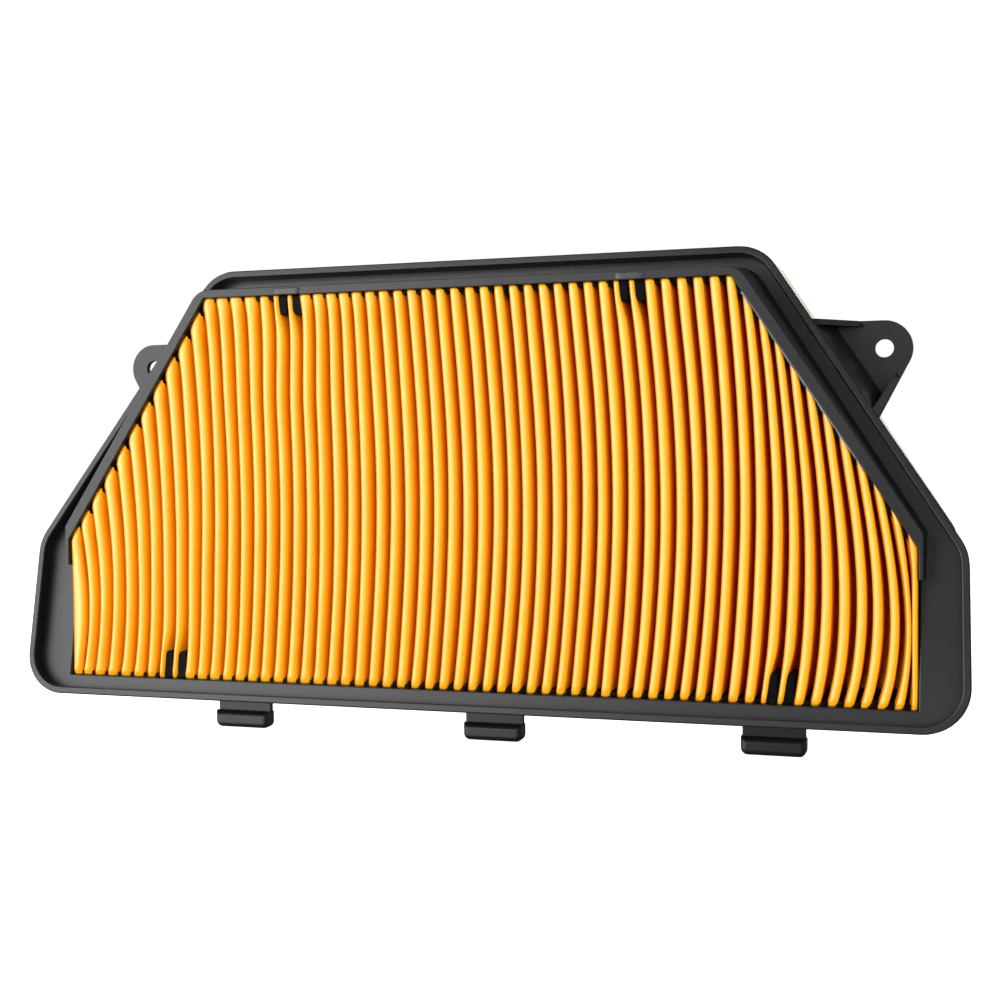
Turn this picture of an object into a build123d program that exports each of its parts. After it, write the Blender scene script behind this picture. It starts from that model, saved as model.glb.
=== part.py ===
from build123d import *
from math import atan2, cos, radians, sin, tan
import os

# Panel air filter for a motorcycle airbox, standing on its three hooks.
# +X runs across the filter, +Z is up and -Y is the dirty side that the pleats face.
# The origin is the middle of the footprint, level with the underside of the hooks.
os.makedirs("parts", exist_ok=True)

# Everything is in millimetres. A "depth" is measured along +Y from the face of the hood lip.
lip_face = -20.43

# Opening that holds the paper: short upright sides, slanted shoulders and a narrower top
opening_half_width = 153.6
opening_top_half = 95.25
opening_bottom = 24.8
opening_shoulder = 75.5
opening_top = 163.2

# Front flange, which leans back; its outline is measured up the lean from the rim's lower edge
flange_lean = 10.0
flange_base = (0, lip_face - 1.38, 17.73)
flange_thickness = 2.5
rim_foot_half = 169.7
rim_shoulder_half = 168.7
rim_top_half = 102.2
rim_shoulder = 57.2
rim_top = 159.1
rim_corner = 15.0
rim_width = 2.6
rim_height = 5.0
rim_rounding = 0.55

# Hood lip round the sides, slants and top of the opening, open below its two ends
lip_half_width = 155.0
lip_top_half = 97.6
lip_shoulder = 80.4
lip_top = 166.2
lip_end = 66.0
lip_draft = 5.0
lip_corner = 8.0
lip_rounding = 0.35
lip_inner_rounding = 0.35

# Housing wall round the paper and the flange at its rear end
housing_wall = 3.0
housing_depth = 44.0
housing_rounding = 0.5
rear_flange_margin = 10.8
rear_flange_thickness = 3.0

# Foam seal on the rear flange, cut a little wide at its two top corners
seal_inner_margin = 4.5
seal_outer_margin = 10.6
seal_top_spread = 1.9
seal_corner = 11.0
seal_thickness = 3.0

# Pleated paper and the adhesive round it
pleat_pitch = 5.27
pleat_count = 58
paper_front = 1.0
paper_depth = 33.0
paper_thickness = 0.7
crest_half = 1.0
adhesive_gap = 1.3
adhesive_front = 2.5

# Media clips, whose two prongs hold one pleat between them
prong_width = 3.8
prong_gap = 1.8
prong_front = 2.0
prong_depth = 12.0
prong_tip_left = 2.6
prong_tip_right = 0.6
prong_rounding = 0.5
top_clip_x = 62.0
top_prong_length = 7.1
bottom_clip_x = 110.4
bottom_prong_length = 10.0

# Support bars across the rear of the paper
bar_width = 4.0
bar_thickness = 6.0

# Ears
ear_hole_x = 140.6
ear_hole_z = 140.9
ear_hole_radius = 3.1
ear_tip_radius = 9.4
ear_edge_angle = 62.3
ear_top_edge = 42.6
ear_lower_edge = 40.7
ear_depth = 41.0
ear_thickness = 2.5
ear_wall = 2.0
ear_fold_reach = 16.3
ear_wall_reach = 24.1
ear_root_depth = 15.0

# Hooks
hook_spacing = 103.0
hook_width = 22.0
hook_barrel_width = 22.8
hook_barrel_height = 6.4
hook_barrel_depth = 5.7
hook_neck_thickness = 2.6
hook_corner = 2.5

# Planes
back_of_paper = paper_front + paper_depth
lean_normal = (0, -cos(radians(flange_lean)), sin(radians(flange_lean)))
flange_front = Plane(origin=flange_base, x_dir=(1, 0, 0), z_dir=lean_normal)
flange_back = flange_front.offset(-flange_thickness)
slant_angle = atan2(opening_half_width - opening_top_half, opening_top - opening_shoulder)
across_slant = Plane(
    origin=(opening_half_width, lip_face, opening_shoulder),
    x_dir=(cos(slant_angle), 0, sin(slant_angle)),
    z_dir=(-sin(slant_angle), 0, cos(slant_angle)),
)


def upright(depth):
    """An upright plane at a depth behind the lip face, looking at the dirty side."""
    return Plane.XZ.offset(-(lip_face + depth))


def outline(foot_half, shoulder_half, top_half, bottom, shoulder, top):
    """Corners of a filter outline, from the bottom right round to the bottom left."""
    right = [(foot_half, bottom), (shoulder_half, shoulder), (top_half, top)]
    left = [(-x, z) for x, z in reversed(right)]
    return right + left


def inset(distance):
    """Corners of the opening's outline moved inward by a distance."""
    half = opening_half_width - distance
    top_half = opening_top_half - distance * tan(radians(45) - slant_angle / 2)
    shoulder = opening_shoulder - distance * tan(slant_angle / 2)
    top = opening_top - distance
    return outline(half, half, top_half, opening_bottom + distance, shoulder, top)


opening = inset(0)
rim_outline = outline(rim_foot_half, rim_shoulder_half, rim_top_half, 0, rim_shoulder, rim_top)
lip_foot = opening_bottom - housing_wall
lip_outline = outline(lip_half_width, lip_half_width, lip_top_half, lip_foot, lip_shoulder, lip_top)


def finish(part, name):
    """Name one piece and write its file."""
    part.label = name
    export_step(part, f"parts/{name}.step")


# Housing: a straight wall from the leaning front flange to the rear
with BuildPart() as housing:
    with BuildSketch(upright(-5)):
        Polygon(*opening, align=None)
        offset(amount=housing_wall)
        Polygon(*opening, align=None, mode=Mode.SUBTRACT)
    extrude(amount=-(housing_depth + 5))
    split(bisect_by=flange_front, keep=Keep.BOTTOM)
    mouth = housing.faces().sort_by(Axis((0, 0, 0), lean_normal))[-1].inner_wires()[0].edges()
    fillet(mouth.filter_by(lambda edge: edge.center().Z < lip_end), housing_rounding)
finish(housing.part, "media_housing")

# Front flange: a leaning plate round the housing, with a raised rim
with BuildPart() as front_flange:
    with BuildSketch(flange_front) as rim_edge:
        Polygon(*rim_outline, align=None)
        fillet(rim_edge.vertices(), rim_corner)
    extrude(amount=-flange_thickness)
    with BuildSketch(flange_front) as rim_ring:
        Polygon(*rim_outline, align=None)
        fillet(rim_ring.vertices(), rim_corner)
        offset(amount=-rim_width, mode=Mode.SUBTRACT)
    extrude(amount=rim_height)
    fillet(front_flange.faces().sort_by(Axis((0, 0, 0), lean_normal))[-1].edges(), rim_rounding)
    with BuildSketch(upright(-15)):
        Polygon(*opening, align=None)
        offset(amount=housing_wall)
    extrude(amount=-60, mode=Mode.SUBTRACT)
finish(front_flange.part, "front_flange")

# Hood lip: drafted outside, straight inside, squarely cut at its two lower ends
with BuildPart() as hood_lip:
    with BuildSketch(upright(0)) as lip_edge:
        Polygon(*lip_outline, align=None)
        fillet(lip_edge.vertices().group_by(Axis.Y)[-1], lip_corner)
    extrude(amount=-30, taper=-lip_draft)
    fillet(hood_lip.faces().sort_by(Axis.Y)[0].edges(), lip_rounding)
    with BuildSketch(upright(0)):
        Polygon(*opening, align=None)
    extrude(amount=-30, mode=Mode.SUBTRACT)
    fillet(hood_lip.faces().sort_by(Axis.Y)[0].inner_wires()[0].edges(), lip_inner_rounding)
    split(bisect_by=Plane.XY.offset(lip_end), keep=Keep.TOP)
    split(bisect_by=flange_front, keep=Keep.TOP)
finish(hood_lip.part, "hood_lip")

# Rear flange: the plate that the ears, the hooks and the seal join
with BuildPart() as rear_flange:
    with BuildSketch(upright(housing_depth - rear_flange_thickness)):
        Polygon(*opening, align=None)
        offset(amount=rear_flange_margin)
    extrude(amount=-rear_flange_thickness)
    with BuildSketch(upright(0)):
        Polygon(*opening, align=None)
        offset(amount=housing_wall)
    extrude(amount=-housing_depth, mode=Mode.SUBTRACT)
finish(rear_flange.part, "rear_flange")

# Foam seal on the rear flange
seal_outline = inset(-seal_outer_margin)
for top_corner, side in ((2, 1), (3, -1)):
    corner_x, corner_z = seal_outline[top_corner]
    seal_outline[top_corner] = (corner_x + side * seal_top_spread, corner_z)

with BuildPart() as seal:
    with BuildSketch(upright(housing_depth)) as seal_edge:
        Polygon(*seal_outline, align=None)
        fillet(seal_edge.vertices(), seal_corner)
    extrude(amount=-seal_thickness)
    with BuildSketch(upright(housing_depth)):
        Polygon(*opening, align=None)
        offset(amount=seal_inner_margin)
    extrude(amount=-seal_thickness, mode=Mode.SUBTRACT)
finish(seal.part, "foam_seal")

# Ears: a flat plate with a screw hole, a sloping root and two stiffening walls that run out
ear_corner = (
    ear_hole_x + ear_tip_radius / tan(radians(ear_edge_angle / 2)),
    ear_hole_z + ear_tip_radius,
)
ear_foot = (
    ear_corner[0] - ear_lower_edge * cos(radians(ear_edge_angle)),
    ear_corner[1] - ear_lower_edge * sin(radians(ear_edge_angle)),
)
ear_outline = [(ear_corner[0] - ear_top_edge, ear_corner[1]), ear_foot, ear_corner]

with BuildPart() as ear:
    with BuildSketch(across_slant):
        Polygon(
            (ear_fold_reach - 9, ear_root_depth),
            (ear_wall_reach, ear_depth),
            (ear_fold_reach - 9, ear_depth),
            align=None,
        )
    extrude(amount=110)
    with BuildSketch(upright(0)) as pocket:
        Polygon(*ear_outline, align=None)
        fillet(pocket.vertices().sort_by(Axis.X)[-1], ear_tip_radius)
        offset(amount=-ear_wall)
    extrude(amount=-ear_depth, mode=Mode.SUBTRACT)
    with BuildSketch(across_slant):
        Polygon(
            (ear_fold_reach - 9, ear_root_depth),
            (ear_fold_reach - 6.5, ear_root_depth),
            (ear_fold_reach, ear_depth),
            (ear_fold_reach - 9, ear_depth),
            align=None,
        )
    extrude(amount=110)
    with BuildSketch(upright(0)) as trimmed:
        Polygon(*ear_outline, align=None)
        fillet(trimmed.vertices().sort_by(Axis.X)[-1], ear_tip_radius)
    extrude(amount=-ear_depth, mode=Mode.INTERSECT)
    with BuildSketch(upright(ear_depth)) as plate:
        Polygon(*ear_outline, align=None)
        fillet(plate.vertices().sort_by(Axis.X)[-1], ear_tip_radius)
        with Locations((ear_hole_x, ear_hole_z)):
            Circle(ear_hole_radius, mode=Mode.SUBTRACT)
    extrude(amount=-ear_thickness)
    split(bisect_by=flange_back, keep=Keep.BOTTOM)
    add(rear_flange.part, mode=Mode.SUBTRACT)
finish(ear.part, "ear_right")
finish(mirror(ear.part, about=Plane.YZ), "ear_left")

# Hooks: a flat neck below the rear flange, ending in a thicker rounded barrel
neck_top = opening_bottom - rear_flange_margin
for place, name in enumerate(("left", "centre", "right")):
    hook_x = (place - 1) * hook_spacing
    with BuildPart() as hook:
        with BuildSketch(upright(housing_depth - hook_neck_thickness)):
            with Locations((hook_x, hook_barrel_height)):
                Rectangle(hook_width, neck_top - hook_barrel_height, align=(Align.CENTER, Align.MIN))
        extrude(amount=-hook_neck_thickness)
        with BuildSketch(upright(housing_depth - hook_barrel_depth)) as barrel:
            with Locations((hook_x, 0)):
                Rectangle(hook_barrel_width, hook_barrel_height, align=(Align.CENTER, Align.MIN))
            fillet(barrel.vertices().group_by(Axis.Y)[0], hook_corner)
        extrude(amount=-hook_barrel_depth)
        front_edges = hook.faces().sort_by(Axis.Y)[0].edges()
        fillet(front_edges, hook_corner - 0.5)
    finish(hook.part, f"hook_{name}")


def media_clip(name, clip_x, wall_z, prong_length, prong_side):
    """A clip on the opening's top or bottom wall; prong_side is -1 down or 1 up."""
    with BuildPart() as clip:
        with BuildSketch(upright(prong_front)) as prongs:
            for offset_x in (-1, 1):
                prong_x = clip_x + offset_x * (prong_width + prong_gap) / 2
                with Locations((prong_x, wall_z + prong_side * prong_length / 2)):
                    Rectangle(prong_width, prong_length)
            tips = prongs.vertices().group_by(Axis.Y)[0 if prong_side < 0 else -1].sort_by(Axis.X)
            fillet(tips[0::2], prong_tip_left)
            fillet(tips[1::2], prong_tip_right)
            with Locations((clip_x, wall_z + prong_side * adhesive_gap / 2)):
                Rectangle(2 * prong_width + prong_gap, adhesive_gap)
        extrude(amount=-prong_depth)
        fillet(clip.faces().sort_by(Axis.Y)[0].edges(), prong_rounding)
    finish(clip.part, f"media_clip_{name}")
    return clip.part


clips = [
    media_clip("top_left", -top_clip_x, opening_top, top_prong_length, -1),
    media_clip("top_right", top_clip_x, opening_top, top_prong_length, -1),
    media_clip("bottom_left", -bottom_clip_x, opening_bottom, bottom_prong_length, 1),
    media_clip("bottom_right", bottom_clip_x, opening_bottom, bottom_prong_length, 1),
]

# Support bars: from each top clip down to the bottom clip on the same side
for side, name in ((-1, "left"), (1, "right")):
    half = bar_width / 2
    with BuildPart() as bar:
        with BuildSketch(upright(back_of_paper)):
            Polygon(
                (side * top_clip_x - half, opening_top),
                (side * top_clip_x + half, opening_top),
                (side * bottom_clip_x + half, opening_bottom),
                (side * bottom_clip_x - half, opening_bottom),
                align=None,
            )
        extrude(amount=-bar_thickness)
    finish(bar.part, f"support_bar_{name}")

# Pleated paper: one folded sheet, trimmed to the opening less the adhesive round it
front_y = lip_face + paper_front
rear_y = front_y + paper_depth
dirty_side = []
clean_side = []
for pleat in range(-pleat_count // 2 - 1, pleat_count // 2 + 2):
    crest_x = pleat * pleat_pitch
    valley_x = crest_x + pleat_pitch / 2
    valley_half = crest_half - paper_thickness
    dirty_side.append((crest_x - crest_half, front_y))
    dirty_side.append((crest_x + crest_half, front_y))
    dirty_side.append((valley_x - valley_half, rear_y - paper_thickness))
    dirty_side.append((valley_x + valley_half, rear_y - paper_thickness))
    clean_side.append((crest_x - valley_half, front_y + paper_thickness))
    clean_side.append((crest_x + valley_half, front_y + paper_thickness))
    clean_side.append((valley_x - crest_half, rear_y))
    clean_side.append((valley_x + crest_half, rear_y))

with BuildPart() as paper:
    with BuildSketch(Plane.XY.offset(opening_bottom + adhesive_gap)):
        Polygon(*dirty_side, *reversed(clean_side), align=None)
    extrude(amount=opening_top - opening_bottom - 2 * adhesive_gap)
    with BuildSketch(upright(0)):
        Polygon(*inset(adhesive_gap), align=None)
    extrude(amount=-housing_depth, mode=Mode.INTERSECT)
    for clip_part in clips:
        add(clip_part, mode=Mode.SUBTRACT)
finish(paper.part, "pleated_paper")

# Adhesive: one bead for each straight run between the paper and the housing
glued = inset(adhesive_gap)
clip_half = prong_width + prong_gap / 2


def run_between(start_x, end_x, wall_z, paper_z, glued_half):
    """Corners of a bead along the top or bottom wall, mitred where it meets a corner."""
    start_paper = max(start_x, -glued_half)
    end_paper = min(end_x, glued_half)
    return [(start_x, wall_z), (end_x, wall_z), (end_paper, paper_z), (start_paper, paper_z)]


top_half = opening_top_half
glued_top = opening_top - adhesive_gap
glued_top_half = glued[2][0]
glued_bottom = opening_bottom + adhesive_gap
glued_half = glued[0][0]
top_ends = (top_clip_x - clip_half, top_clip_x + clip_half)
bottom_ends = (bottom_clip_x - clip_half, bottom_clip_x + clip_half)
top_run = (opening_top, glued_top, glued_top_half)
bottom_run = (opening_bottom, glued_bottom, glued_half)
beads = {
    "top_left": run_between(-top_half, -top_ends[1], *top_run),
    "top_centre": run_between(-top_ends[0], top_ends[0], *top_run),
    "top_right": run_between(top_ends[1], top_half, *top_run),
    "bottom_left": run_between(-opening_half_width, -bottom_ends[1], *bottom_run),
    "bottom_centre": run_between(-bottom_ends[0], bottom_ends[0], *bottom_run),
    "bottom_right": run_between(bottom_ends[1], opening_half_width, *bottom_run),
    "side_right": [opening[0], opening[1], glued[1], glued[0]],
    "slant_right": [opening[1], opening[2], glued[2], glued[1]],
    "slant_left": [opening[3], opening[4], glued[4], glued[3]],
    "side_left": [opening[4], opening[5], glued[5], glued[4]],
}
for name, corners in beads.items():
    with BuildPart() as bead:
        with BuildSketch(upright(adhesive_front)):
            Polygon(*corners, align=None)
        extrude(amount=adhesive_front - back_of_paper)
    finish(bead.part, f"adhesive_{name}")
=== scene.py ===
import math
import random

import bmesh
import bpy
from mathutils import Matrix, Vector, noise


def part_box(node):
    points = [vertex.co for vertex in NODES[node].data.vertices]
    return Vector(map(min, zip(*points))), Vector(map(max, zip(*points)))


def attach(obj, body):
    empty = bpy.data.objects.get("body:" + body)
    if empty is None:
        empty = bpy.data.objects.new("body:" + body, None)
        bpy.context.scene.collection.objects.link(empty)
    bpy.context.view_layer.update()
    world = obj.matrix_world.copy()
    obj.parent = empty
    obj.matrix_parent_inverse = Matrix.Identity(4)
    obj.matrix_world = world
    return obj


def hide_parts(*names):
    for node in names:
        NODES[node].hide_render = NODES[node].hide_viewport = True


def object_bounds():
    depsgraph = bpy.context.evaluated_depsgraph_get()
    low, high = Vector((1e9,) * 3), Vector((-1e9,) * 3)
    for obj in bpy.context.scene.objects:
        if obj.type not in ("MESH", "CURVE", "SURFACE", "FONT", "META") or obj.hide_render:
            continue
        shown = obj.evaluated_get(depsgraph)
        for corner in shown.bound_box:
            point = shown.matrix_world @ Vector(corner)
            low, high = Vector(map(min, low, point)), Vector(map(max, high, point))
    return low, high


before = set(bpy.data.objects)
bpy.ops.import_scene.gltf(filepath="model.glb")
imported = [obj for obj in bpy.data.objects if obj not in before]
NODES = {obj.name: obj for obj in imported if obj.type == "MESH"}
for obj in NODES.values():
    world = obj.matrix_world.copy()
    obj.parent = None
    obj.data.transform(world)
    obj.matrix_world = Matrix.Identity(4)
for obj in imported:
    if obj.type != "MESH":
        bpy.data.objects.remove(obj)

CAD_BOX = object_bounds()


# ---------------------------------------------------------------- materials

class Mat:
    """A node material with short helpers for procedural detail."""

    def __init__(self, name):
        self.material = bpy.data.materials.new(name)
        self.material.use_nodes = True
        tree = self.material.node_tree
        self.nodes = tree.nodes
        self.links = tree.links
        self.shader = self.nodes["Principled BSDF"]
        self.place = self.nodes.new("ShaderNodeTexCoord").outputs["Object"]

    def set(self, **values):
        """Set constant shader inputs, with _ for the spaces in their names."""
        for name, value in values.items():
            self.shader.inputs[name.replace("_", " ")].default_value = value

    def stretched(self, scale):
        """Object coordinates multiplied along each axis."""
        mapping = self.nodes.new("ShaderNodeMapping")
        mapping.inputs["Scale"].default_value = scale
        self.links.new(self.place, mapping.inputs["Vector"])
        return mapping.outputs["Vector"]

    def noise(self, scale, detail=4.0, rough=0.55, vector=None, distortion=0.0):
        """Cloudy noise, scale in cells a metre."""
        node = self.nodes.new("ShaderNodeTexNoise")
        node.inputs["Scale"].default_value = scale
        node.inputs["Detail"].default_value = detail
        node.inputs["Roughness"].default_value = rough
        node.inputs["Distortion"].default_value = distortion
        self.links.new(vector or self.place, node.inputs["Vector"])
        return node.outputs["Fac"]

    def voronoi(self, scale):
        """Distance to the middle of the nearest cell."""
        node = self.nodes.new("ShaderNodeTexVoronoi")
        node.inputs["Scale"].default_value = scale
        self.links.new(self.place, node.inputs["Vector"])
        return node.outputs["Distance"]

    def span(self, value, low, high, to_low=0.0, to_high=1.0):
        """Map a value from low..high to to_low..to_high, clamped."""
        node = self.nodes.new("ShaderNodeMapRange")
        ends = {"From Min": low, "From Max": high, "To Min": to_low, "To Max": to_high}
        for name, number in ends.items():
            node.inputs[name].default_value = number
        self.links.new(value, node.inputs["Value"])
        return node.outputs["Result"]

    def math(self, kind, a, b):
        """One sum of two values, each a number or a socket."""
        node = self.nodes.new("ShaderNodeMath")
        node.operation = kind
        for socket, value in zip(node.inputs, (a, b)):
            if isinstance(value, (int, float)):
                socket.default_value = value
            else:
                self.links.new(value, socket)
        return node.outputs[0]

    def mix(self, factor, first, second):
        """Blend two colours, each a tuple or a socket."""
        node = self.nodes.new("ShaderNodeMix")
        node.data_type = "RGBA"
        self.links.new(factor, node.inputs["Factor"])
        for socket, value in ((node.inputs["A"], first), (node.inputs["B"], second)):
            if isinstance(value, tuple):
                socket.default_value = (*value, 1.0)
            else:
                self.links.new(value, socket)
        return node.outputs["Result"]

    def color(self, value):
        self.links.new(value, self.shader.inputs["Base Color"])

    def roughness(self, value):
        self.links.new(value, self.shader.inputs["Roughness"])

    def bump(self, *layers):
        """Bump from (height value, distance in metres) layers, the first at the bottom."""
        normal = None
        for height, distance in layers:
            node = self.nodes.new("ShaderNodeBump")
            node.inputs["Distance"].default_value = distance
            node.inputs["Strength"].default_value = 1.0
            self.links.new(height, node.inputs["Height"])
            if normal is not None:
                self.links.new(normal, node.inputs["Normal"])
            normal = node.outputs["Normal"]
        self.links.new(normal, self.shader.inputs["Normal"])


SCRATCHED = (0.035, 0.035, 0.037)  # colour of a fine scratch in black plastic
PLASTIC_IOR = 1.49
FOLD_SHADE_FROM = 0.0038  # metres behind the crests where painted shade starts to darken the folds
FOLD_SHADE_FULL = 0.0145  # and where it reaches full strength
# painted shade: the deep red that stands for the shaded, red-lit insides of the folds
PAINTED_FOLD_SHADE = (0.98, 0.010, 0.016)


def plastic_material(name, dark, light, rough_low, rough_high, shine=0.57):
    """Black moulded plastic: faint flow marks, fine grain, rub marks and hair scratches."""
    mat = Mat(name)
    flow = mat.noise(18.0, detail=3.0, vector=mat.stretched((0.6, 1.0, 1.8)), distortion=0.8)
    grain = mat.noise(2600.0, detail=2.0)
    upright = mat.stretched((1.0, 1.0, 0.15))
    rubs = mat.span(mat.noise(90.0, detail=6.0, rough=0.7, vector=upright), 0.62, 0.78)
    across = mat.stretched((0.25, 1.0, 4.0))
    hairs = mat.noise(55.0, detail=2.0, rough=0.4, vector=across, distortion=2.5)
    off_hair = mat.math("ABSOLUTE", mat.math("SUBTRACT", hairs, 0.5), 0.0)
    scratches = mat.span(off_hair, 0.0, 0.004, 0.5, 0.0)
    scratched = mat.math("MULTIPLY", scratches, mat.span(mat.noise(24.0, detail=1.0), 0.58, 0.64))
    moulded = mat.mix(mat.span(flow, 0.3, 0.7), dark, light)
    mat.color(mat.mix(scratched, moulded, SCRATCHED))
    rough = mat.span(flow, 0.3, 0.75, rough_low, rough_high)
    mat.roughness(mat.math("ADD", rough, mat.math("MULTIPLY", rubs, 0.10)))
    mat.bump((flow, 0.00025), (grain, 0.000012))
    mat.set(IOR=PLASTIC_IOR, Specular_IOR_Level=shine)
    return mat.material


def paper_material():
    """Resin-treated filter paper: fibres, cloudiness, and painted shade that turns the paper deep
    red deep in the folds.
    """
    mat = Mat("filter_paper")
    place = mat.nodes.new("ShaderNodeSeparateXYZ")
    mat.links.new(mat.place, place.inputs[0])
    depth = place.outputs["Y"]
    from_front = mat.span(depth, PAPER_LOW.y + FOLD_SHADE_FROM, PAPER_LOW.y + FOLD_SHADE_FULL)
    from_rear = mat.span(depth, PAPER_HIGH.y - FOLD_SHADE_FROM, PAPER_HIGH.y - FOLD_SHADE_FULL)
    inside = mat.math("MULTIPLY", from_front, from_rear)
    clouds = mat.noise(60.0, detail=5.0, vector=mat.stretched((1.0, 1.0, 0.35)))
    along = mat.stretched((1.0, 1.0, 0.25))
    fibres = mat.noise(1500.0, detail=4.0, rough=0.7, vector=along, distortion=1.2)
    dots = mat.voronoi(900.0)
    body = mat.mix(mat.span(clouds, 0.3, 0.7), (0.92, 0.350, 0.002), (0.95, 0.392, 0.004))
    speckled = mat.mix(mat.span(fibres, 0.35, 0.75, 0.0, 0.3), body, (0.97, 0.44, 0.02))
    # painted shade: the paper turns deep red the further it lies behind the crests
    mat.color(mat.mix(inside, speckled, PAINTED_FOLD_SHADE))
    mat.roughness(mat.span(fibres, 0.3, 0.7, 0.30, 0.42))
    mat.bump((clouds, 0.0002), (fibres, 0.00002), (dots, 0.000012))
    mat.set(IOR=1.5, Specular_IOR_Level=0.1, Coat_Weight=1.0, Coat_Roughness=0.36, Coat_IOR=1.9)
    return mat.material


def adhesive_material():
    """Black potting adhesive: smooth with slow ripples and pin-holes."""
    mat = Mat("potting_adhesive")
    ripple = mat.noise(220.0, detail=3.0, distortion=0.6)
    pits = mat.span(mat.voronoi(700.0), 0.0, 0.22, 1.0, 0.0)
    cold, warm = (0.0010, 0.0010, 0.0012), (0.0028, 0.0026, 0.0024)
    mat.color(mat.mix(mat.span(ripple, 0.3, 0.7), cold, warm))
    mat.roughness(mat.span(ripple, 0.3, 0.7, 0.42, 0.6))
    mat.bump((ripple, 0.0005), (pits, 0.0001))
    mat.set(Specular_IOR_Level=0.1)
    return mat.material


def foam_material():
    """Pale closed-cell foam: fine open skin cells and slight yellowing."""
    mat = Mat("seal_foam")
    cells = mat.voronoi(2400.0)
    patches = mat.noise(45.0, detail=4.0)
    tone = mat.mix(mat.span(patches, 0.3, 0.7), (0.74, 0.68, 0.55), (0.86, 0.82, 0.72))
    mat.color(mat.mix(mat.span(cells, 0.0, 0.5, 0.10, 0.0), tone, (0.42, 0.37, 0.28)))
    mat.roughness(mat.span(patches, 0.3, 0.7, 0.82, 0.95))
    mat.bump((patches, 0.00001), (cells, 0.0000003))
    return mat.material


PAPER_LOW, PAPER_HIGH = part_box("pleated_paper")
PLASTIC = plastic_material(
    "frame_plastic", (0.0052, 0.0054, 0.0062), (0.0080, 0.0082, 0.0092), 0.36, 0.45)
# painted shade: the clip fins get a much darker, almost unshiny copy of the frame plastic so that
# they look shaded between the pleats
SHADED_CLIP_PLASTIC = plastic_material(
    "clip_plastic_painted_shade", (0.0010, 0.0010, 0.0011), (0.0022, 0.0022, 0.0024), 0.5, 0.62, 0.08)
PAPER = paper_material()
ADHESIVE = adhesive_material()
FOAM = foam_material()
# painted highlight: the pale grey of the flash burr stands for a glint along the lip's edge
FLASH_HIGHLIGHT_PLASTIC = plastic_material(
    "flash_painted_highlight", (0.03, 0.03, 0.032), (0.30, 0.30, 0.31), 0.3, 0.5)
PAD_PLASTIC = plastic_material(
    "pad_plastic", (0.022, 0.022, 0.024), (0.030, 0.030, 0.032), 0.34, 0.42)


def paint(target, material):
    """Give an object one material in place of whatever it has."""
    target.data.materials.clear()
    target.data.materials.append(material)


for name, node in NODES.items():
    if name.startswith("adhesive"):
        paint(node, ADHESIVE)
    elif name == "foam_seal":
        paint(node, FOAM)
    elif name.startswith("media_clip"):
        paint(node, SHADED_CLIP_PLASTIC)
    elif name != "pleated_paper":
        paint(node, PLASTIC)


# ---------------------------------------------------------------- pleated paper

class Outline:
    """Half widths and heights: upright sides, slanted shoulders and a narrower top."""

    def __init__(self, half, shoulder, top_half, top, bottom):
        self.half = half
        self.shoulder = shoulder
        self.top_half = top_half
        self.top = top
        self.bottom = bottom

    def ceiling(self, x):
        """Height of the top or slanted edge above a place across the filter."""
        past = max(abs(x) - self.top_half, 0.0)
        return self.top - past * (self.top - self.shoulder) / (self.half - self.top_half)


SIDE_LOW, SIDE_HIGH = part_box("adhesive_side_right")
SLANT_LOW, SLANT_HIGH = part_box("adhesive_slant_right")
BEAD_DEPTH = SIDE_LOW.y - PAPER_LOW.y
TOP_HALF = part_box("adhesive_top_right")[1].x
WALL = Outline(SIDE_HIGH.x, SIDE_HIGH.z, TOP_HALF, SLANT_HIGH.z, SIDE_LOW.z)
GLUE = Outline(SIDE_LOW.x, SLANT_LOW.z, SLANT_LOW.x, PAPER_HIGH.z, PAPER_LOW.z)
HEIGHT = WALL.top - WALL.bottom
TOUCH = 0.00008  # gap kept between the paper and what holds it
PLEATS = 59
MIDDLE = (PLEATS - 1) / 2
PITCH = 0.00527
SHEET = 0.0006
CREST = 0.00158  # outer radius of a fold
BEND = CREST - SHEET / 2
ROWS = 40

BOW = 0.0033  # how far the pleats on the left bow to the right
BOW_GAIN = 0.0011  # how much more the others do
GAIN_FROM, GAIN_OVER = -0.070, 0.090
STIFF_RIGHT, STIFF_LEFT = 0.0042, 0.006  # reach of the side walls that keep pleats straight
SLUMP_FROM, SLUMP_OVER = 0.095, 0.030  # where the last pleats on the right lean back to the left
SLUMP = 0.0011
FOOT_SHIFT = 0.0003

CLIP_PLACES = ("top_left", "top_right", "bottom_left", "bottom_right")
CLIPS = [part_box("media_clip_" + place) for place in CLIP_PLACES]
HELD_ASIDE = 0.0008  # the pinched crest stands this far right of its clip's middle
SQUEEZE = 0.44  # share of its width that a pinched crest loses
PUSH_FADE = 0.035  # distance along a pleat over which a clip's push fades
PINCH_FADE = 0.011  # the same for the pinch itself
PINCH_START = 0.002
PUSH_REACH = 0.022  # width of the push across the pleats
PUSH_END = 0.06


def smooth(t):
    """Ease from 0 to 1."""
    t = min(max(t, 0.0), 1.0)
    return t * t * (3.0 - 2.0 * t)


def sway(x, t):
    """How far a pleat bows to the right, most near its middle and hardly at its ends."""
    reach = BOW + BOW_GAIN * smooth((x - GAIN_FROM) / GAIN_OVER)
    reach *= 1.0 - math.exp(-max(WALL.half - x, 0.0) / STIFF_RIGHT)
    reach *= 1.0 - 0.2 * math.exp(-(x + WALL.half) / STIFF_LEFT)
    slump = smooth((x - SLUMP_FROM) / SLUMP_OVER)
    bow = reach * math.sin(math.pi * t ** (0.92 - 0.1 * slump))
    return bow - FOOT_SHIFT * (1.0 - t) - SLUMP * slump * t * t


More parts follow.
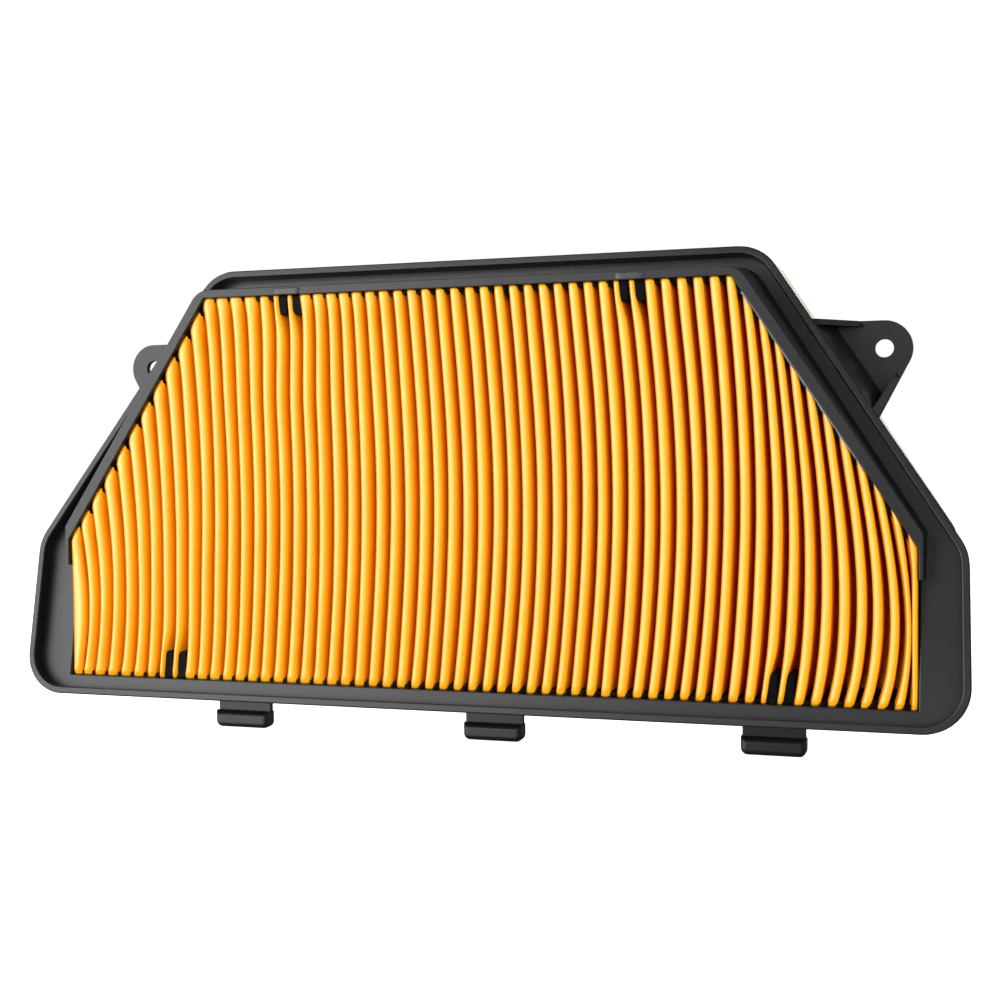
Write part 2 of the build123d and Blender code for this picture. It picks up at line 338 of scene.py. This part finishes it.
def wander(index, z):
    """Small uneven drift, part of it a fold's own and part shared with its neighbours."""
    own = noise.noise(Vector((index * 1.7, z * 16.0, 3.1)))
    shared = noise.noise(Vector((index * 0.23, z * 7.0, 7.7)))
    return 0.00030 * own + 0.00065 * shared


def crest_depth(index, z):
    """How far a crest stands behind the even front of the paper, below 0 in front of it."""
    slow = noise.noise(Vector((index * 0.9, z * 5.0, 1.3)))
    quick = noise.noise(Vector((index * 2.3, z * 30.0, 9.2)))
    return 0.00045 * (slow + 0.5 * quick) + 0.00015 - 0.0004 * smooth(1.0 - index / MIDDLE)


def pinch(x, z):
    """Sideways push of the clips on the paper near them, and how far they narrow a crest."""
    push, narrow = 0.0, 0.0
    for clip_low, clip_high in CLIPS:
        held_crest = (clip_low.x + clip_high.x) / 2 + HELD_ASIDE
        beyond = clip_low.z - z if clip_low.z > HEIGHT / 2 else z - clip_high.z
        hold = 1.0 - smooth(beyond / PUSH_FADE)
        near = 1.0 - smooth((beyond + PINCH_START) / PINCH_FADE)
        crest = round(held_crest / PITCH) * PITCH
        if abs(x - crest) > PUSH_END or hold <= 0.0:
            continue
        push += hold * (held_crest - crest) * math.exp(-((x - crest) / PUSH_REACH) ** 2)
        if -1.3 < (x - crest) / PITCH < 0.3:
            narrow = max(narrow, near)
    return push, narrow


def fold_shift(index, x, t):
    """Sideways shift of a crest (whole index) or valley (half index), and its narrowing."""
    z = GLUE.bottom + t * (GLUE.ceiling(x) - GLUE.bottom)
    held = smooth(t * 7.0) * smooth((1.0 - t) * 7.0)
    push, narrow = pinch(x, z)
    return sway(x, t) + wander(index, z) * (0.35 + 0.65 * held) + push, narrow


def half_turn(steps):
    """Sine and cosine at even steps from a quarter turn left to a quarter turn right."""
    for step in range(-steps, steps + 1):
        angle = math.pi / 2 * step / steps
        yield math.sin(angle), math.cos(angle)


def sheet_profile():
    """One pleat as (part, place across, depth, normal): crest arc, flank, valley arc, flank."""
    rear = PAPER_HIGH.y - PAPER_LOW.y - CREST
    shares = (0.05, 0.25, 0.6)
    points = []
    for sine, cosine in half_turn(4):
        points.append(("crest", sine, CREST - BEND * cosine, (sine, -cosine)))
    for share in shares:
        points.append(("fall", share, CREST + share * (rear - CREST), (1.0, 0.0)))
    for sine, cosine in half_turn(2):
        points.append(("valley", sine, rear + BEND * cosine, (-sine, -cosine)))
    for share in reversed(shares):
        points.append(("rise", 1.0 - share, CREST + share * (rear - CREST), (-1.0, 0.0)))
    return points


def fold_places(t):
    """Every crest and valley in turn, as (place, narrowing by a clip), at a share of its height."""
    limit = WALL.half - TOUCH - CREST
    places = []
    for half_index in range(2 * PLEATS + 1):
        index = half_index / 2
        x = min(max((index - MIDDLE) * PITCH, -limit), limit)
        shift, narrow = fold_shift(index, x, t)
        places.append((min(max(x + shift, -limit), limit), narrow))
    return places


def swell(x, t):
    """Share by which the crests of the left half grow wider at their two ends."""
    tall = GLUE.ceiling(x) - GLUE.bottom
    head = 1.0 - smooth((1.0 - t) * tall / 0.008)
    foot = 1.0 - smooth(t * tall / 0.006)
    return smooth(-x / 0.06) * (0.42 * head + 0.28 * foot)


def bent_crest(crest, narrow, round_out):
    """Middle and half width of a crest, where a clip may narrow it."""
    return crest - CREST * SQUEEZE * narrow, BEND * round_out * (1.0 - SQUEEZE * narrow)


def column_places(columns, t):
    """Where each column of the sheet lies across the filter, and how far its folds are squeezed."""
    places = fold_places(t)
    edge = WALL.half - TOUCH - SHEET / 2
    spots = []
    for index, part, across, _, _ in columns:
        crest, narrow = places[2 * index]
        valley = places[2 * index + 1][0]
        following, next_narrow = places[2 * index + 2]
        before = places[2 * index - 2][0] if index else crest - PITCH
        gap = (following - before) / 2 if part == "crest" else following - crest
        tight = min(1.12, max(0.3, gap / PITCH))
        round_out = tight * (1.0 + swell(crest, t) * (1.0 - max(narrow, next_narrow)))
        middle, half = bent_crest(crest, narrow, round_out)
        if part == "crest":
            x = middle + across * half
            if index == 0 and across < 0.0:
                x = crest + across * (crest + edge)
            if index == PLEATS - 1 and across > 0.0:
                x = crest + across * (edge - crest)
        elif part == "valley":
            x = valley + across * BEND * tight
        else:
            if part == "fall":
                first = middle + half
                second = valley - BEND * tight
            else:
                next_middle, next_half = bent_crest(following, next_narrow, round_out)
                first = valley + BEND * tight
                second = next_middle - next_half
            x = first + across * (second - first)
        spots.append((x, tight))
    return spots


def set_back(x, from_bottom, from_top):
    """How far a crest's end is rounded back: a little at the foot, more on the left slant."""
    left = smooth((-x - GLUE.top_half + 0.004) / 0.008)
    foot = 0.0008 * (1.0 - smooth(from_bottom / 0.0016))
    head = (0.0002 + 0.0008 * left) * (1.0 - smooth(from_top / (0.0010 + 0.0012 * left)))
    return foot + head


def sheet_columns():
    """Every column of the sheet as (pleat, part, place across, depth, normal)."""
    columns = []
    for index in range(PLEATS):
        for part, across, depth, normal in sheet_profile():
            if index < PLEATS - 1 or part == "crest":
                columns.append((index, part, across, depth, normal))
    return columns


def close_sheet(mesh, fronts, rears):
    """Faces over the front, the rear and all four edges of a sheet of two vertex grids."""
    last = len(fronts[0]) - 1
    for row in range(ROWS):
        for col in range(last):
            a, b = fronts[row], fronts[row + 1]
            mesh.faces.new((a[col], a[col + 1], b[col + 1], b[col]))
            a, b = rears[row], rears[row + 1]
            mesh.faces.new((a[col + 1], a[col], b[col], b[col + 1]))
        for col in (0, last):
            a, b = fronts[row], fronts[row + 1]
            c, d = rears[row], rears[row + 1]
            mesh.faces.new((a[col], b[col], d[col], c[col]))
    for row in (0, ROWS):
        a, c = fronts[row], rears[row]
        for col in range(last):
            mesh.faces.new((a[col], a[col + 1], c[col + 1], c[col]))


def build_paper():
    """The whole folded sheet with bowed, uneven pleats, closed to a real thickness."""
    columns = sheet_columns()
    ends = []
    for (x, _), (_, _, _, depth, _) in zip(column_places(columns, 1.0), columns):
        edge = WALL if depth < BEAD_DEPTH + 0.0008 else GLUE
        ends.append((edge.bottom + TOUCH, edge.ceiling(x) - TOUCH))
    mesh = bmesh.new()
    fronts = []
    rears = []
    for row in range(ROWS + 1):
        share = row / ROWS
        t = 0.15 * share + 0.85 * (0.5 - 0.5 * math.cos(math.pi * share))
        front = []
        rear = []
        for (x, tight), (low, high), column in zip(column_places(columns, t), ends, columns):
            index, part, _, depth, normal = column
            z = low + t * (high - low)
            shallow = max(0.0, 1.0 - depth / 0.006)
            back = set_back(x, z - low, high - z) + crest_depth(index + (part == "rise"), z)
            y = PAPER_LOW.y + depth + shallow * back
            aside, ahead = normal[0] * SHEET / 2 * tight, normal[1] * SHEET / 2
            front.append(mesh.verts.new((x + aside, y + ahead, z)))
            rear.append(mesh.verts.new((x - aside, y - ahead, z)))
        fronts.append(front)
        rears.append(rear)
    close_sheet(mesh, fronts, rears)
    return finish_mesh(mesh, "pleated_media", PAPER)


def finish_mesh(mesh, name, material):
    """Turn a bmesh into a linked, smooth-shaded object of one material."""
    bmesh.ops.recalc_face_normals(mesh, faces=mesh.faces)
    data = bpy.data.meshes.new(name)
    mesh.to_mesh(data)
    mesh.free()
    for polygon in data.polygons:
        polygon.use_smooth = True
    piece = bpy.data.objects.new(name, data)
    bpy.context.collection.objects.link(piece)
    paint(piece, material)
    return piece


media = build_paper()
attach(media, "root")
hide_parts("pleated_paper")


# ---------------------------------------------------------------- adhesive in the valleys

random.seed(7)
WEDGE_SIDES = 10
WEDGE_STEPS = 5
WEDGE_THICK = 0.0022
DRIP_AT = 0.0176  # place across of the one long drip at the top
DRIP = 0.0044


def bridge(mesh, rings):
    """Join a run of vertex rings into a closed solid."""
    for one, other in zip(rings, rings[1:]):
        for k in range(len(one)):
            after = (k + 1) % len(one)
            mesh.faces.new((one[k], one[after], other[after], other[k]))
    mesh.faces.new(rings[0])
    mesh.faces.new(rings[-1])


def climb(mesh, left, right, wall, rise):
    """A wedge of adhesive: its left side slopes and its right side leans on the next pleat."""
    rings = []
    for step in range(WEDGE_STEPS + 1):
        share = step / WEDGE_STEPS
        edge = left + (right - left) * 0.85 * share ** 1.2
        middle, half = (edge + right) / 2, (right - edge) / 2
        thick = WEDGE_THICK * (1.0 - 0.5 * share ** 2)
        ring = []
        for side in range(WEDGE_SIDES):
            turn = 2.0 * math.pi * (side + 0.5) / WEDGE_SIDES
            ring.append(mesh.verts.new((
                middle + half * math.cos(turn),
                PAPER_LOW.y + 0.0003 + 0.0009 * share + thick * (1.0 + math.sin(turn)),
                wall + rise * share)))
        rings.append(ring)
    bridge(mesh, rings)


def build_wedges(name, side):
    """Uneven wedges along the bottom (side 1) or top (side -1) wall, tall in the right half."""
    mesh = bmesh.new()
    wall = WALL.bottom + TOUCH if side > 0 else WALL.top - TOUCH
    tallest = 0.0016 if side > 0 else 0.0010
    places = fold_places(0.0 if side > 0 else 1.0)
    for index in range(PLEATS - 1):
        crest = places[2 * index][0]
        following = places[2 * index + 2][0]
        roll, spread = random.random(), random.random()
        if side < 0 and abs(crest) > WALL.top_half - 0.004:
            continue
        strong = smooth((crest + 0.045) / 0.05)
        if strong < 0.1 and spread < 0.6:
            continue
        height = 0.0003 + 0.0003 * roll + strong * (0.0006 + tallest * roll ** 1.5)
        left = crest + CREST * (0.75 - strong * (0.25 + 0.45 * spread))
        right = following - CREST * 0.85
        climb(mesh, left, right, wall, side * height)
    if side < 0:
        nearest = min(places[1::2], key=lambda place: abs(place[0] - DRIP_AT))[0]
        climb(mesh, nearest - 0.0012, nearest + 0.0009, wall, -DRIP)
    return finish_mesh(mesh, name, ADHESIVE)


for name, side in (("adhesive_climb_bottom", 1), ("adhesive_climb_top", -1)):
    wedges = build_wedges(name, side)
    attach(wedges, "root")


# ---------------------------------------------------------------- moulding flash on the hood lip, pale as a painted highlight

LIP_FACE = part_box("hood_lip")[0].y
FLASH_STEPS = 110
FLASH_DOWN = Vector((-0.83, 0.0, -0.55))  # off the slanted edge, towards the paper


def build_flash(name):
    """A thin ragged burr along the inner edge of the right slanted run of the hood lip, its pale
    colour a painted highlight along that edge.
    """
    mesh = bmesh.new()
    rows = []
    for step in range(FLASH_STEPS + 1):
        share = 0.06 + 0.66 * step / FLASH_STEPS
        x = WALL.top_half + share * (WALL.half - WALL.top_half)
        z = WALL.ceiling(x)
        wave = noise.noise(Vector((step * 0.21, 2.0, 4.4)))
        fringe = 0.00020 + 0.00035 * max(0.0, wave + 0.3) + 0.00022 * random.random()
        edge = Vector((x, LIP_FACE + 0.0004, z))
        root = edge - FLASH_DOWN.normalized() * 0.0003
        tip = edge + FLASH_DOWN * fringe
        thick = Vector((0.0, 0.00018, 0.0))
        corners = (root, tip, tip + thick, root + 3 * thick)
        rows.append([mesh.verts.new(corner) for corner in corners])
    bridge(mesh, rows)
    return finish_mesh(mesh, name, FLASH_HIGHLIGHT_PLASTIC)


flash = build_flash("lip_flash_right")
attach(flash, "root")


# ---------------------------------------------------------------- pads on the hood lip

PAD_SIDES = 48
PAD_MIDDLE = WALL.top + 0.0013
PAD_HALF_HEIGHT = 0.0012
PAD_SQUARE = 0.3  # 1 would make the pads oval and 0 square
PAD_STEPS = ((1.0, 0.0002), (1.0, -0.0001), (0.96, -0.0002), (0.6, -0.00022))


def build_pad(name, clip_low, clip_high):
    """A low oblong pad with rounded corners on the face of the lip, over one clip."""
    across = (clip_low.x + clip_high.x) / 2
    half_width = (clip_high.x - clip_low.x) / 2 + 0.0001
    mesh = bmesh.new()
    rings = []
    for scale, depth in PAD_STEPS:
        ring = []
        for side in range(PAD_SIDES):
            turn = 2.0 * math.pi * side / PAD_SIDES
            x, z = math.cos(turn), math.sin(turn)
            x = math.copysign(abs(x) ** PAD_SQUARE, x)
            z = math.copysign(abs(z) ** PAD_SQUARE, z)
            ring.append(mesh.verts.new((
                across + half_width * scale * x,
                LIP_FACE + depth,
                PAD_MIDDLE + PAD_HALF_HEIGHT * scale * z)))
        rings.append(ring)
    bridge(mesh, rings)
    return finish_mesh(mesh, name, PAD_PLASTIC)


for name, (clip_low, clip_high) in zip(("lip_pad_left", "lip_pad_right"), CLIPS):
    pad = build_pad(name, clip_low, clip_high)
    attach(pad, "root")


# ---------------------------------------------------------------- studio

FLOOR_Z = CAD_BOX[0][2] - 0.0002
DOME_RADIUS = 6.0
LIT_POINT = Vector((0.0, 0.0, 0.09))
CAMERA_PLACE = (0.1741, -0.50403, 0.1088)
CAMERA_TURN, CAMERA_DOWN, CAMERA_ROLL = 18.04, 2.04, -0.54  # degrees

floor_mat = Mat("studio_floor")
floor_mat.color(floor_mat.mix(floor_mat.noise(3.0), (0.86, 0.86, 0.86), (0.88, 0.88, 0.88)))
floor_mat.set(Roughness=0.9, Emission_Color=(1.0, 1.0, 1.0, 1.0), Emission_Strength=1.0)
bpy.ops.mesh.primitive_plane_add(size=14.0, location=(0.0, 0.0, FLOOR_Z))
floor = bpy.context.object
floor.name = "studio_floor"
floor.visible_diffuse = False
floor.visible_glossy = False
paint(floor, floor_mat.material)

dome_mat = Mat("studio_backdrop")
dome_mat.color(dome_mat.mix(dome_mat.noise(0.5), (0.0, 0.0, 0.0), (0.01, 0.01, 0.01)))
dome_mat.set(Roughness=1.0, Emission_Color=(1.0, 1.0, 1.0, 1.0), Emission_Strength=1.05)
bpy.ops.mesh.primitive_uv_sphere_add(segments=48, ring_count=24, radius=DOME_RADIUS)
dome = bpy.context.object
dome.name = "studio_backdrop"
for use in ("diffuse", "glossy", "transmission", "volume_scatter", "shadow"):
    setattr(dome, "visible_" + use, False)
paint(dome, dome_mat.material)

bpy.context.scene.view_settings.view_transform = "Standard"
world = bpy.data.worlds.new("studio")
world.use_nodes = True
background = world.node_tree.nodes["Background"]
background.inputs["Color"].default_value = (1.0, 1.0, 1.0, 1.0)
background.inputs["Strength"].default_value = 0.09
bpy.context.scene.world = world


def softbox(name, azimuth, elevation, distance, width, height, power, seen_in="both"):
    """A rectangular light aimed at the filter, azimuth 0 in front and positive to the right.

    seen_in is "shine" for a light that only makes reflections, "matte" for one that makes
    none, or "both".
    """
    light = bpy.data.lights.new(name, "AREA")
    light.shape = "RECTANGLE"
    light.size = width
    light.size_y = height
    light.energy = power
    lamp = bpy.data.objects.new(name, light)
    bpy.context.collection.objects.link(lamp)
    turn, rise = math.radians(azimuth), math.radians(elevation)
    level = math.cos(rise)
    direction = Vector((math.sin(turn) * level, -math.cos(turn) * level, math.sin(rise)))
    lamp.location = LIT_POINT + direction * distance
    lamp.rotation_euler = (-direction).to_track_quat("-Z", "Y").to_euler()
    lamp.visible_glossy = seen_in != "matte"
    lamp.visible_diffuse = seen_in != "shine"


softbox("key_shine", -45.0, 8.0, 1.3, 1.5, 1.3, 24.5, "shine")
softbox("key_matte", -40.0, 12.0, 1.3, 0.9, 0.9, 12.0, "matte")
softbox("front_shine", 16.0, 5.0, 1.8, 1.3, 0.9, 2.2, "shine")
softbox("front_matte", 10.0, 0.0, 1.8, 1.2, 0.8, 30.0, "matte")
softbox("fill_matte", 36.0, 8.0, 1.6, 0.8, 0.8, 18.0, "matte")
softbox("side_light", -105.0, 8.0, 1.4, 0.8, 0.8, 6.0)
softbox("right_light", 120.0, 12.0, 1.5, 0.9, 0.8, 4.5)
softbox("rear_light", -160.0, 62.0, 1.6, 1.0, 0.8, 4.0)
softbox("rear_matte", -160.0, 45.0, 1.6, 1.0, 0.8, 14.0, "matte")

camera_data = bpy.data.cameras.new("camera")
camera_data.lens = 54.0
camera_data.sensor_width = 36.0
camera_data.clip_start = 0.01
camera = bpy.data.objects.new("camera", camera_data)
bpy.context.collection.objects.link(camera)
aim = Matrix.Rotation(math.radians(CAMERA_TURN), 4, "Z")
tilt = Matrix.Rotation(math.radians(90.0 - CAMERA_DOWN), 4, "X")
roll = Matrix.Rotation(math.radians(CAMERA_ROLL), 4, "Z")
camera.matrix_world = Matrix.Translation(CAMERA_PLACE) @ aim @ tilt @ roll
bpy.context.scene.camera = camera
